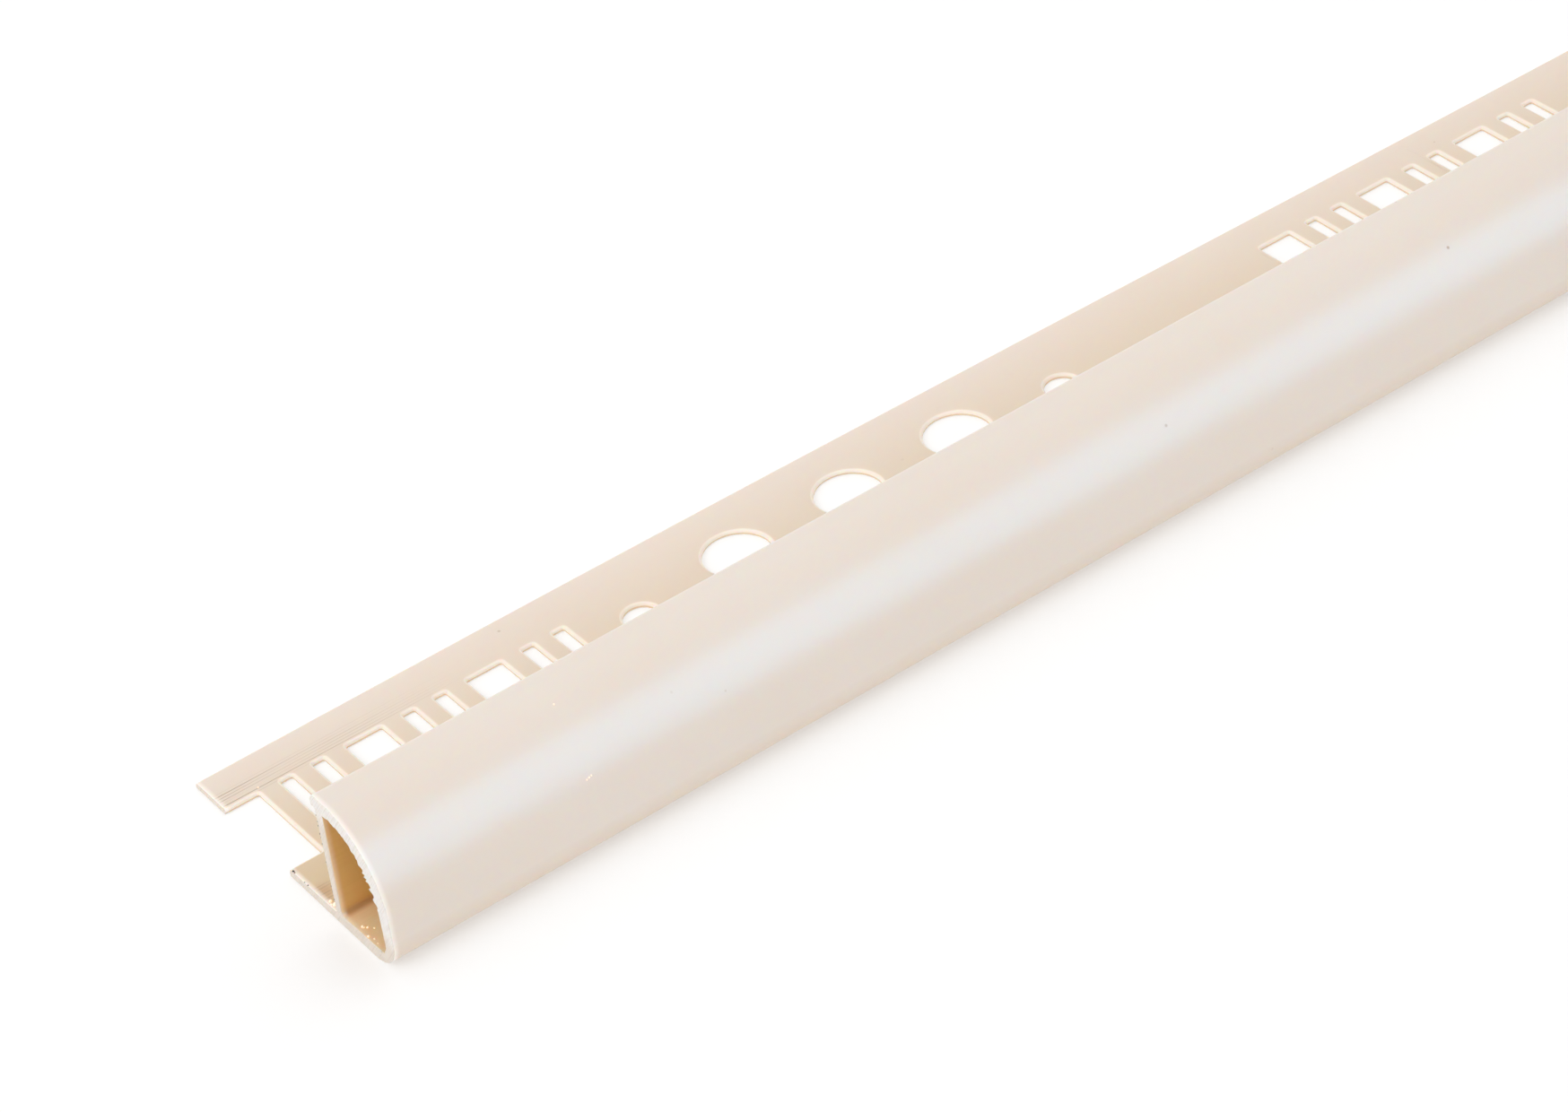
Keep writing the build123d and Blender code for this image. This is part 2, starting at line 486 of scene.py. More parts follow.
def raise_burr(vert, into_chamber):
    """Pushes a vertex of the chamber's edge inwards, as far as the burr reaches at its height."""
    share = max(0.0, min(1.0, (vert.co.z - BURR_LOW) / (BURR_HIGH - BURR_LOW)))
    reach = BURR_REACH * max(LEAST_BURR, math.sin(math.pi * share))
    tooth = unevenness(vert.co + BURR_SHIFT, TOOTH_SIZE, TOOTH_CONTRAST)
    vert.co += into_chamber.normalized() * reach * (LEAST_TOOTH + tooth)


for x, faces in sawn_faces.items():
    inwards = 1 if x == 0 else -1
    edge_faces = bmesh.ops.inset_region(bar, faces=faces, thickness=EDGE_BREAK, use_even_offset=True,
                                        use_boundary=True)["faces"]
    for vert in dict.fromkeys(v for face in edge_faces for v in face.verts):
        neighbours = [face for face in vert.link_faces if face.material_index != SAWN]
        if not neighbours:
            continue
        into_chamber = Vector()
        for face in neighbours:
            if face.material_index == CHAMBER:
                into_chamber += face.normal
        vert.co.x += inwards * EDGE_BREAK * (1 + unevenness(vert.co, TOOTH_SIZE)) / 2
        if into_chamber.y > 0 or into_chamber.z < 0:
            raise_burr(vert, into_chamber)
    for face in edge_faces:
        face.material_index = SAWN
print("faces with broken edges and burr:", len(bar.faces))

# %% [markdown]
# ## The wavy tip
# The thin tip of the flange cools unevenly, so its edge wanders in and out along the bar by less than a
# millimetre. A lattice could bend it, but a cosine with a long wave is enough and says how far it goes. Only
# the strip outside the holes moves, and only inwards from its full width, so the bar stays inside its box.

# %% Let the flange's tip wander
WAVE_START = 22.8
WAVE_LENGTH = 235.0
WAVE_CREST = 27.0
WAVE_DEPTH = 0.95

for vert in bar.verts:
    share = (vert.co.y - WAVE_START) / (width - WAVE_START)
    if share > 0:
        turn = 2 * math.pi * (vert.co.x - WAVE_CREST) / WAVE_LENGTH
        vert.co.y -= share * WAVE_DEPTH * (1 - math.cos(turn)) / 2
print("tip width, mm:", round(max(v.co.y for v in bar.verts), 2))

# %% [markdown]
# ## Colours and nodes
# Every finish below is built from a few nodes, so small functions do the typing: one turns the hex values
# that a colour picker gives into the linear numbers that Blender mixes, one adds a node with its settings
# and links, and one starts a material. Patterns read Object coordinates, which are metres here, so a scale
# is one over a real size, and a place on the bar is turned into the frame's metres.

# %% Helpers for materials
WHITE = "#FFFFFF"


def linear(hex_colour):
    """Linear colour, with alpha, from an sRGB hex value."""
    channels = [int(hex_colour[i:i + 2], 16) / 255 for i in (1, 3, 5)]
    return [c / 12.92 if c <= 0.04045 else ((c + 0.055) / 1.055) ** 2.4 for c in channels] + [1.0]


def add_node(tree, kind, inputs=None, **settings):
    """Adds a node; each input is a constant or another node's output socket."""
    node = tree.nodes.new("ShaderNode" + kind)
    for name, value in settings.items():
        setattr(node, name, value)
    for name, value in (inputs or {}).items():
        if isinstance(value, bpy.types.NodeSocket):
            tree.links.new(value, node.inputs[name])
        else:
            node.inputs[name].default_value = value
    return node


def new_material(name):
    """A material with an empty tree, the socket that a shader goes into, and places on the piece."""
    material = bpy.data.materials.new(name)
    material.use_nodes = True
    tree = material.node_tree
    tree.nodes.clear()
    output = add_node(tree, "OutputMaterial")
    return material, tree, output.inputs["Surface"], add_node(tree, "TexCoord").outputs["Object"]


def per_metre(*sizes):
    """Pattern scale from sizes in millimetres."""
    return tuple(1 / (size * MM) for size in sizes)


def frame_x(x):
    """Object coordinate of a distance in millimetres from the near sawn end."""
    return (x - length / 2) * MM


def frame_y(y):
    """Object coordinate of a distance in millimetres from the rounded face."""
    return (y - width / 2) * MM


print("white as linear colour:", linear(WHITE), "web in the frame, m:", round(frame_y(web_back), 5))

# %% [markdown]
# ## Cream body
# Rigid PVC is cream all through. Its colour is nearly even, but the eye reads a single flat colour as a toy,
# so it clouds faintly over a centimetre or so. Behind the web, painted shade makes it darker and warmer
# towards the root of the flange, where the web and the lip shade it. One image could hold all that, but noise
# that is measured in millimetres stays sharp at any distance, and a tint that follows the section is only a
# ramp between two places.

# %% Cream, with painted shade towards the root of the flange
CREAM, WARM_CREAM, CLOUD_SIZE = "#ECE5DE", "#EAE1D7", 14.0
# Painted shade: the flange turns darker and warmer towards its root, where the web and the lip shade it.
ROOT_SHADE_TAN, TIP_SHADE = "#D9C096", 0.08


def cream_body(tree, place):
    """Cream with faint clouds."""
    clouds = add_node(tree, "TexNoise", {"Vector": place, "Scale": 1 / (CLOUD_SIZE * MM), "Detail": 2.0})
    return add_node(tree, "Mix", {0: clouds.outputs["Fac"], 6: linear(CREAM), 7: linear(WARM_CREAM)},
                    data_type="RGBA").outputs[2]


def painted_root_shade(tree, place, colour):
    """Paints shade on the flange towards its root, behind the web, below the lip and not on the underside."""
    _, y, z = add_node(tree, "SeparateXYZ", {"Vector": place}).outputs
    shaded_rootward = add_node(tree, "MapRange", {
        "Value": y, "From Min": frame_y(web_back), "From Max": frame_y(width),
        "To Min": 1.0, "To Max": TIP_SHADE}).outputs["Result"]
    behind_web = add_node(tree, "Math", {0: y, 1: frame_y(web_front)}, operation="GREATER_THAN").outputs[0]
    below_lip = add_node(tree, "MapRange", {
        "Value": z, "From Min": FLANGE_THICKNESS * MM, "From Max": lip_underside * MM,
        "To Min": 1.0, "To Max": 0.0}).outputs["Result"]
    on_top = add_node(tree, "MapRange", {"Value": z, "From Max": TIP_THICKNESS * MM}).outputs["Result"]
    for mask in (behind_web, below_lip, on_top):
        shaded_rootward = add_node(tree, "Math", {0: shaded_rootward, 1: mask}, operation="MULTIPLY").outputs[0]
    return add_node(tree, "Mix", {0: shaded_rootward, 6: colour, 7: linear(ROOT_SHADE_TAN)}, data_type="RGBA").outputs[2]


print("the root's tint runs over, mm:", round(width - web_back, 2))

# %% [markdown]
# ## Tan spot and shaded foot
# A soft tan spot lies on the flange beside the web, just behind the saw cut, and the foot of the round face
# has painted shade, warmer and darker, where it faces the table. The spot is a soft ball of colour round one
# point, so it needs no image, and the painted shade is a ramp with height that fades out under the base.

# %% Tan spot and painted shade at the foot
# A tan spot on the flange beside the web, just behind the saw cut.
SPOT_X, SPOT_Y, SPOT_Z = 0.6, 9.7, 0.7
SPOT_TAN, SPOT_STRENGTH, SPOT_REACH = "#CBA27B", 0.65, 1.3
# Painted shade: the foot of the round face is darker and warmer where it faces the table.
FOOT_SHADE_CREAM, FOOT_HEIGHT, FOOT_DEPTH = "#E3D3C1", 3.0, 2.8


def tan_spot(tree, place, colour):
    """A soft tan spot on the flange beside the web."""
    middle = (frame_x(SPOT_X), frame_y(SPOT_Y), SPOT_Z * MM)
    off = add_node(tree, "VectorMath", {0: place, 1: middle}, operation="DISTANCE").outputs["Value"]
    spotted = add_node(tree, "MapRange", {
        "Value": off, "From Max": SPOT_REACH * MM, "To Min": SPOT_STRENGTH, "To Max": 0.0},
        interpolation_type="SMOOTHSTEP").outputs["Result"]
    return add_node(tree, "Mix", {0: spotted, 6: colour, 7: linear(SPOT_TAN)}, data_type="RGBA").outputs[2]


def painted_foot_shade(tree, place, colour):
    """Paints shade on the low front of the round face, warmer and darker towards the table."""
    _, y, z = add_node(tree, "SeparateXYZ", {"Vector": place}).outputs
    shaded_footward = add_node(tree, "MapRange", {
        "Value": z, "From Min": BASE_THICKNESS * MM, "From Max": FOOT_HEIGHT * MM,
        "To Min": 1.0, "To Max": 0.0}).outputs["Result"]
    in_front = add_node(tree, "MapRange", {
        "Value": y, "From Min": frame_y(FOOT_DEPTH / 2), "From Max": frame_y(FOOT_DEPTH),
        "To Min": 1.0, "To Max": 0.0}).outputs["Result"]
    shaded_footward = add_node(tree, "Math", {0: shaded_footward, 1: in_front}, operation="MULTIPLY").outputs[0]
    return add_node(tree, "Mix", {0: shaded_footward, 6: colour, 7: linear(FOOT_SHADE_CREAM)}, data_type="RGBA").outputs[2]


print("scuff across, mm:", 2 * SPOT_REACH, "foot up to, mm:", FOOT_HEIGHT)

# %% [markdown]
# ## Die lines
# A worn die draws fine dark grooves along the bar. Here they lie in two bands, one beside the tip and one
# beside the web, and fade away from the sawn end. A groove of a hundredth of a millimetre is too fine for
# the mesh, so a Wave texture makes evenly spaced lines, noise that is stretched along the bar breaks them
# up, and a mask keeps them in their bands.

# %% Die lines in two bands
DIE_LINE_SPACING, DIE_LINE_LENGTH = 0.28, 12.0
DIE_LINE_FROM = 0.7
BROKEN_FROM, BROKEN_TO = 0.3, 0.6
DIE_LINE_BANDS = ((22.4, 1.0, 20.0), (9.6, 1.0, 2.5))  # middle, half width and reach along the bar
BAND_CORE = 0.6
WAVE_TURN = 2 * math.pi / 20  # the Wave texture repeats after this distance at a scale of 1


def line_bands(tree, place):
    """Where the die lines are, fading towards the sides of each band and away from the sawn end."""
    x, y, _ = add_node(tree, "SeparateXYZ", {"Vector": place}).outputs
    bands = []
    for middle, half_width, reach in DIE_LINE_BANDS:
        off = add_node(tree, "Math", {0: y, 1: frame_y(middle)}, operation="SUBTRACT").outputs[0]
        off = add_node(tree, "Math", {0: off}, operation="ABSOLUTE").outputs[0]
        inside = add_node(tree, "MapRange", {
            "Value": off, "From Min": BAND_CORE * half_width * MM, "From Max": half_width * MM,
            "To Min": 1.0, "To Max": 0.0}).outputs["Result"]
        near = add_node(tree, "MapRange", {
            "Value": x, "From Min": frame_x(0), "From Max": frame_x(reach),
            "To Min": 1.0, "To Max": 0.0}).outputs["Result"]
        bands.append(add_node(tree, "Math", {0: inside, 1: near}, operation="MULTIPLY").outputs[0])
    beside_tip, beside_web = bands
    return add_node(tree, "Math", {0: beside_web, 1: beside_tip}, operation="ADD").outputs[0]


def die_lines(tree, place):
    """Strength of the die lines: uneven streaks along the bar, only inside their bands."""
    wave = add_node(tree, "TexWave", {"Vector": place, "Scale": WAVE_TURN / (DIE_LINE_SPACING * MM)},
                    wave_type="BANDS", bands_direction="Y")
    lines = add_node(tree, "MapRange", {
        "Value": wave.outputs["Fac"], "From Min": DIE_LINE_FROM}).outputs["Result"]
    drawn = add_node(tree, "Mapping", {
        "Vector": place, "Scale": per_metre(DIE_LINE_LENGTH, DIE_LINE_SPACING, DIE_LINE_LENGTH)})
    broken = add_node(tree, "TexNoise", {"Vector": drawn.outputs["Vector"], "Scale": 1.0, "Detail": 1.0})
    broken = add_node(tree, "MapRange", {
        "Value": broken.outputs["Fac"], "From Min": BROKEN_FROM, "From Max": BROKEN_TO}).outputs["Result"]
    for mask in (broken, line_bands(tree, place)):
        lines = add_node(tree, "Math", {0: lines, 1: mask}, operation="MULTIPLY").outputs[0]
    return lines


print("die lines in each band:", [round(2 * half / DIE_LINE_SPACING) for _, half, _ in DIE_LINE_BANDS])

# %% [markdown]
# ## Burnt specks
# A few grains of resin burn in the extruder and stay in the skin as brown specks. They could be tiny pieces,
# but they are in the plastic, not on it. Voronoi cells give each speck a place of its own, and the random
# colour of a cell decides whether it has one.

# %% Burnt specks in the skin
SPECK_SPACING, SPECK_SIZE, SPECK_BROWN = 3.0, 0.16, "#C2AB92"
SPECK_CORE = 0.3
BARE_CELLS = 0.55


def burnt_specks(tree, place, colour):
    """Adds a brown speck to the cells whose random colour is high, darker the higher it is."""
    cells = add_node(tree, "TexVoronoi", {"Vector": place, "Scale": 1 / (SPECK_SPACING * MM)})
    speck = add_node(tree, "MapRange", {
        "Value": cells.outputs["Distance"], "From Min": SPECK_CORE * SPECK_SIZE / SPECK_SPACING,
        "From Max": SPECK_SIZE / SPECK_SPACING, "To Min": 1.0, "To Max": 0.0}).outputs["Result"]
    chosen = add_node(tree, "SeparateColor", {"Color": cells.outputs["Color"]}).outputs["Red"]
    chosen = add_node(tree, "MapRange", {"Value": chosen, "From Min": BARE_CELLS}).outputs["Result"]
    speck = add_node(tree, "Math", {0: speck, 1: chosen}, operation="MULTIPLY").outputs[0]
    return add_node(tree, "Mix", {0: speck, 6: colour, 7: linear(SPECK_BROWN)}, data_type="RGBA").outputs[2]


print("share of cells with a speck:", round(1 - BARE_CELLS, 2))

# %% [markdown]
# ## Polished skin
# The die leaves the outside with a satin gloss, and the plastic under it is slightly translucent, so light
# softens its edges and shines through its thin walls, which Subsurface gives. The gloss is streaked along
# the bar and the skin swells and dips a little, as the bar was pulled while it was warm. The skin is pale
# round every opening and cut: partly the whitening of strained plastic, partly a painted highlight on the
# rims and cut edges. The mesh carries that mark, since only the mesh knows where the rims are.

# %% Rigid PVC, extruded and die polished
PVC = {"IOR": 1.53, "Subsurface Weight": 1.0, "Subsurface Radius": (0.36, 0.24, 0.15), "Subsurface Scale": MM}
DIE_LINE_SHADE, DIE_LINE_STRENGTH, DIE_LINE_DEPTH = "#A68D70", 0.8, 0.01
# Pale colour round openings and cuts: partly strain whitening, partly a painted highlight.
STRAIN_WHITE_AND_SHEEN = "#FAF6F1"
STREAK_WIDTH, STREAK_LENGTH, STREAK_DEPTH = 0.35, 40.0, 0.003
DENT_SIZE, DENT_LENGTH, DENT_DEPTH = 2.5, 25.0, 0.03
GLOSSY_STREAK, DULL_STREAK = 0.32, 0.42


def polished_relief(tree, place, streaks, lines):
    """Long shallow dents, with fine streaks and the grooves of the die lines on them."""
    swell = add_node(tree, "Mapping", {
        "Vector": place, "Scale": per_metre(DENT_LENGTH, DENT_SIZE, DENT_SIZE)})
    dents = add_node(tree, "TexNoise", {"Vector": swell.outputs["Vector"], "Scale": 1.0, "Detail": 1.0})
    relief = add_node(tree, "Bump", {"Height": dents.outputs["Fac"], "Distance": DENT_DEPTH * MM})
    relief = add_node(tree, "Bump", {"Height": streaks, "Distance": STREAK_DEPTH * MM,
                                     "Normal": relief.outputs["Normal"]})
    relief = add_node(tree, "Bump", {"Height": lines, "Distance": DIE_LINE_DEPTH * MM,
                                     "Normal": relief.outputs["Normal"]}, invert=True)
    return relief.outputs["Normal"]


def polished_pvc():
    """Satin cream that gives a soft broad highlight, faintly streaked along the bar."""
    material, tree, surface, place = new_material("rigid_PVC_die_polished")
    colour = painted_root_shade(tree, place, cream_body(tree, place))
    colour = painted_foot_shade(tree, place, tan_spot(tree, place, colour))
    lines = die_lines(tree, place)
    shade = add_node(tree, "Math", {0: lines, 1: DIE_LINE_STRENGTH}, operation="MULTIPLY").outputs[0]
    colour = add_node(tree, "Mix", {0: shade, 6: colour, 7: linear(DIE_LINE_SHADE)},
                      data_type="RGBA").outputs[2]
    colour = burnt_specks(tree, place, colour)
    pale_rim_share = add_node(tree, "Attribute", attribute_name="strain_and_sheen").outputs["Fac"]
    colour = add_node(tree, "Mix", {0: pale_rim_share, 6: colour, 7: linear(STRAIN_WHITE_AND_SHEEN)},
                      data_type="RGBA").outputs[2]
    along = add_node(tree, "Mapping", {
        "Vector": place, "Scale": per_metre(STREAK_LENGTH, STREAK_WIDTH, STREAK_WIDTH)})
    streaks = add_node(tree, "TexNoise", {"Vector": along.outputs["Vector"], "Scale": 1.0, "Detail": 2.0})
    streaks = streaks.outputs["Fac"]
    gloss = add_node(tree, "MapRange", {"Value": streaks, "To Min": GLOSSY_STREAK, "To Max": DULL_STREAK})
    shader = add_node(tree, "BsdfPrincipled", {
        **PVC, "Base Color": colour, "Roughness": gloss.outputs["Result"],
        "Normal": polished_relief(tree, place, streaks, lines)})
    tree.links.new(shader.outputs["BSDF"], surface)
    return material


polished = polished_pvc()
print(polished.name, "nodes:", len(polished.node_tree.nodes))

# %% [markdown]
# ## The chamber's wall
# Inside the hollow, light reaches the wall only after it has crossed or struck cream plastic many times, and
# each time it turns warmer, so the hollow glows amber. It is palest just behind the saw cut and on its
# floor, and darkest in the corner at the foot of the web. A renderer can bounce light that often, but it
# takes many samples, so the finish itself turns amber with depth. No outer die polished this wall, so it is
# duller, with faint streaks.

# %% Amber of the chamber
# Painted light: amber shade inside the hollow, paler where light enters, with a painted shadow in the corner.
AMBER, FLOOR_AMBER, PALE_AMBER, CORNER_SHADE_BROWN = "#E9C27A", "#FFDDB4", "#F6E9D2", "#BC8424"
FLOOR_SKIN, FLOOR_FADE = 0.05, 0.5
CORNER_REACH, CORNER_STRENGTH = 0.55, 0.85
GLOW_REACH, GLOW_STRENGTH = 0.6, 0.8


def painted_chamber_light(tree, place):
    """Painted light in the hollow: amber, paler where light falls on the floor and behind the cut, and a
    painted shade at the foot of the web.
    """
    x, _, z = add_node(tree, "SeparateXYZ", {"Vector": place}).outputs
    floorward = add_node(tree, "MapRange", {
        "Value": z, "From Min": (BASE_THICKNESS + FLOOR_SKIN) * MM,
        "From Max": (BASE_THICKNESS + FLOOR_FADE) * MM, "To Min": 1.0, "To Max": 0.0}).outputs["Result"]
    colour = add_node(tree, "Mix", {0: floorward, 6: linear(AMBER), 7: linear(FLOOR_AMBER)},
                      data_type="RGBA").outputs[2]
    across = add_node(tree, "VectorMath", {0: place, 1: (0, 1, 1)}, operation="MULTIPLY").outputs["Vector"]
    corner = (0, frame_y(web_front), BASE_THICKNESS * MM)
    off = add_node(tree, "VectorMath", {0: across, 1: corner}, operation="DISTANCE").outputs["Value"]
    shade = add_node(tree, "MapRange", {
        "Value": off, "From Max": CORNER_REACH * MM,
        "To Min": CORNER_STRENGTH, "To Max": 0.0}).outputs["Result"]
    colour = add_node(tree, "Mix", {0: shade, 6: colour, 7: linear(CORNER_SHADE_BROWN)},
                      data_type="RGBA").outputs[2]
    from_middle = add_node(tree, "Math", {0: x}, operation="ABSOLUTE").outputs[0]
    glow = add_node(tree, "MapRange", {
        "Value": from_middle, "From Min": (length / 2 - GLOW_REACH) * MM, "From Max": length / 2 * MM,
        "To Max": GLOW_STRENGTH}, interpolation_type="SMOOTHSTEP").outputs["Result"]
    return add_node(tree, "Mix", {0: glow, 6: colour, 7: linear(PALE_AMBER)}, data_type="RGBA").outputs[2]


print("pale behind each cut for, mm:", GLOW_REACH)

# %% [markdown]
# ## As drawn
# What is left of the chamber's finish is how it was made: drawn along the bar and never polished. Its
# streaks could be left out, but without them the wall looks like smooth paint. They are noise that is
# stretched along the bar.

# %% Rigid PVC, extruded and left as drawn
DRAWN_STREAK, DRAWN_DEPTH, DRAWN_ROUGHNESS = 0.25, 0.004, 0.5
DRAWN_FROM, DRAWN_TO, DRAWN_STRENGTH = 0.4, 0.7, 0.06


def chamber_pvc():
    """Dull amber, as the eye sees the inside of a cream tube, with faint streaks along the bar."""
    material, tree, surface, place = new_material("rigid_PVC_as_drawn")
    along = add_node(tree, "Mapping", {
        "Vector": place, "Scale": per_metre(STREAK_LENGTH, DRAWN_STREAK, DRAWN_STREAK)})
    streaks = add_node(tree, "TexNoise", {"Vector": along.outputs["Vector"], "Scale": 1.0, "Detail": 3.0})
    streaks = streaks.outputs["Fac"]
    faint = add_node(tree, "MapRange", {
        "Value": streaks, "From Min": DRAWN_FROM, "From Max": DRAWN_TO,
        "To Max": DRAWN_STRENGTH}).outputs["Result"]
    colour = add_node(tree, "Mix", {0: faint, 6: painted_chamber_light(tree, place), 7: linear(CORNER_SHADE_BROWN)},
                      data_type="RGBA").outputs[2]
    relief = add_node(tree, "Bump", {"Height": streaks, "Distance": DRAWN_DEPTH * MM})
    shader = add_node(tree, "BsdfPrincipled", {
        **PVC, "Base Color": colour, "Roughness": DRAWN_ROUGHNESS, "Normal": relief.outputs["Normal"]})
    tree.links.new(shader.outputs["BSDF"], surface)
    return material


as_drawn = chamber_pvc()
print(as_drawn.name, "nodes:", len(as_drawn.node_tree.nodes))

# %% [markdown]
# ## Sheared walls
# The wall of a punched opening shows how it was made: below the roll the punch burnished it with fine
# upright scratches, and lower down the plastic tore and is duller. The wall also carries painted shade: its
# cream is darker and warmer than the bar's, and tan towards the bottom, where the opening shades it. Upright
# scratches are noise that is stretched along Z, and the torn band is a change of gloss with height, with the
# painted shade as a change of colour.

# %% Rigid PVC, sheared by a punch
# Painted shade: the sheared walls are darker than the bar, and tan towards the bottom of the wall.
SHADED_SHEARED_CREAM, TORN_SHADE_TAN = "#E6D2B8", "#CFB28C"
SCRATCH_WIDTH, SCRATCH_LENGTH, SCRATCH_DEPTH = 0.12, 1.5, 0.02
TORN_BELOW, BURNISHED_ABOVE = 0.12, 0.3
TORN_ROUGHNESS, BURNISHED_ROUGHNESS = 0.7, 0.45


def sheared_pvc():
    """A wall that glints along upright scratches above and is torn and matt below, with painted shade turning
    it tan towards the bottom.
    """
    material, tree, surface, place = new_material("rigid_PVC_sheared")
    z = add_node(tree, "SeparateXYZ", {"Vector": place}).outputs["Z"]
    torn_and_shaded = add_node(tree, "MapRange", {
        "Value": z, "From Min": TORN_BELOW * MM, "From Max": BURNISHED_ABOVE * MM,
        "To Min": 1.0, "To Max": 0.0}).outputs["Result"]
    upright = add_node(tree, "Mapping", {
        "Vector": place, "Scale": per_metre(SCRATCH_WIDTH, SCRATCH_WIDTH, SCRATCH_LENGTH)})
    scratches = add_node(tree, "TexNoise", {"Vector": upright.outputs["Vector"], "Scale": 1.0, "Detail": 3.0})
    shaded_tan = add_node(tree, "Math", {0: torn_and_shaded, 1: scratches.outputs["Fac"]}, operation="MULTIPLY").outputs[0]
    colour = add_node(tree, "Mix", {0: shaded_tan, 6: linear(SHADED_SHEARED_CREAM), 7: linear(TORN_SHADE_TAN)},
                      data_type="RGBA").outputs[2]
    dullness = add_node(tree, "MapRange", {
        "Value": torn_and_shaded, "To Min": BURNISHED_ROUGHNESS, "To Max": TORN_ROUGHNESS}).outputs["Result"]
    relief = add_node(tree, "Bump", {"Height": scratches.outputs["Fac"], "Distance": SCRATCH_DEPTH * MM})
    shader = add_node(tree, "BsdfPrincipled", {
        **PVC, "Base Color": colour, "Roughness": dullness, "Normal": relief.outputs["Normal"]})
    tree.links.new(shader.outputs["BSDF"], surface)
    return material


sheared = sheared_pvc()
print(sheared.name, "nodes:", len(sheared.node_tree.nodes))

# %% [markdown]
# ## Sawn faces
# A fine saw leaves PVC matt and whitened, with slanted tooth marks. The thick round wall is whitest, while
# the thin web, base and flange still let their cream show. Height minus depth tells the two apart, because
# the round wall is the only part of the section that is both high and forward. The tooth marks are noise
# that is stretched along the saw's path.

# %% Rigid PVC, sawn
SAWN_CREAM, SAWN_WHITE, TOOTH_GREY = "#E0D6CA", "#E9E6E2", "#CBBEAF"
ROUND_WALL_FROM, ROUND_WALL_TO = 1.6, 3.0
TOOTH_MARK, TOOTH_MARK_LENGTH, TOOTH_MARK_DEPTH, MARK_ALONG_BAR = 0.09, 2.5, 0.02, 1.0
MARK_FROM, MARK_TO, MARK_STRENGTH = 0.45, 0.75, 0.5
SAW_SLANT = math.radians(35)
SAWN_GRAIN, SAWN_GRAIN_DEPTH = 0.05, 0.01
SAWN_ROUGHNESS, SAWN_TRANSLUCENCY = 0.8, 0.5


def sawn_pvc():
    """Matt and whitened, with slanted tooth marks."""
    material, tree, surface, place = new_material("rigid_PVC_sawn")
    forward = add_node(tree, "VectorMath", {0: place, 1: (0, -1, 1)}, operation="DOT_PRODUCT")
    round_wall = add_node(tree, "MapRange", {
        "Value": forward.outputs["Value"], "From Min": (ROUND_WALL_FROM + width / 2) * MM,
        "From Max": (ROUND_WALL_TO + width / 2) * MM}).outputs["Result"]
    colour = add_node(tree, "Mix", {0: round_wall, 6: linear(SAWN_CREAM), 7: linear(SAWN_WHITE)},
                      data_type="RGBA").outputs[2]
    slant = add_node(tree, "Mapping", {"Vector": place, "Rotation": (SAW_SLANT, 0, 0)}, vector_type="TEXTURE")
    path = add_node(tree, "Mapping", {
        "Vector": slant.outputs["Vector"], "Scale": per_metre(MARK_ALONG_BAR, TOOTH_MARK, TOOTH_MARK_LENGTH)})
    marks = add_node(tree, "TexNoise", {"Vector": path.outputs["Vector"], "Scale": 1.0, "Detail": 2.0})
    marks = marks.outputs["Fac"]
    grey = add_node(tree, "MapRange", {
        "Value": marks, "From Min": MARK_FROM, "From Max": MARK_TO,
        "To Max": MARK_STRENGTH}).outputs["Result"]
    colour = add_node(tree, "Mix", {0: grey, 6: colour, 7: linear(TOOTH_GREY)}, data_type="RGBA").outputs[2]
    grain = add_node(tree, "TexNoise", {"Vector": place, "Scale": 1 / (SAWN_GRAIN * MM)}).outputs["Fac"]
    relief = add_node(tree, "Bump", {"Height": marks, "Distance": TOOTH_MARK_DEPTH * MM})
    relief = add_node(tree, "Bump", {"Height": grain, "Distance": SAWN_GRAIN_DEPTH * MM,
                                     "Normal": relief.outputs["Normal"]})
    shader = add_node(tree, "BsdfPrincipled", {
        **PVC, "Base Color": colour, "Roughness": SAWN_ROUGHNESS, "Normal": relief.outputs["Normal"],
        "Subsurface Weight": SAWN_TRANSLUCENCY})
    tree.links.new(shader.outputs["BSDF"], surface)
    return material


sawn = sawn_pvc()
print(sawn.name, "nodes:", len(sawn.node_tree.nodes))

# %% [markdown]
# ## From millimetres into the frame
# The bar was drawn from its near end, which is easy to measure. A piece has to lie in the part's own frame
# with its object at the origin, so its vertices are moved and scaled, not the object. The Weighted Normal
# modifier then keeps the large flat faces flat beside their narrow roundings.

# %% Put the bar in its frame
SHARP_ANGLE = math.radians(60)


def finish_piece(name, bm, materials):
    """Turns a mesh drawn in millimetres from the near end into a piece in the part's frame."""
    bmesh.ops.translate(bm, verts=bm.verts[:], vec=(-length / 2, -width / 2, 0))
    bmesh.ops.scale(bm, verts=bm.verts[:], vec=(MM, MM, MM))
    bm.normal_update()
    for face in bm.faces:
        face.smooth = True
    for edge in bm.edges:
        edge.smooth = edge.calc_face_angle(0) < SHARP_ANGLE
    mesh = bpy.data.meshes.new(name)
    bm.to_mesh(mesh)
    bm.free()
    for material in materials:
        mesh.materials.append(material)
    piece = bpy.data.objects.new(name, mesh)
    scene.collection.objects.link(piece)
    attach(piece, "root")
    print(name, "triangles:", sum(len(face.vertices) - 2 for face in mesh.polygons))
    return piece


trim = finish_piece("trim_length", bar, [polished, as_drawn, sheared, sawn])
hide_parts("tile_trim")
even_shading = trim.modifiers.new("even_shading", "WEIGHTED_NORMAL")
even_shading.keep_sharp = True

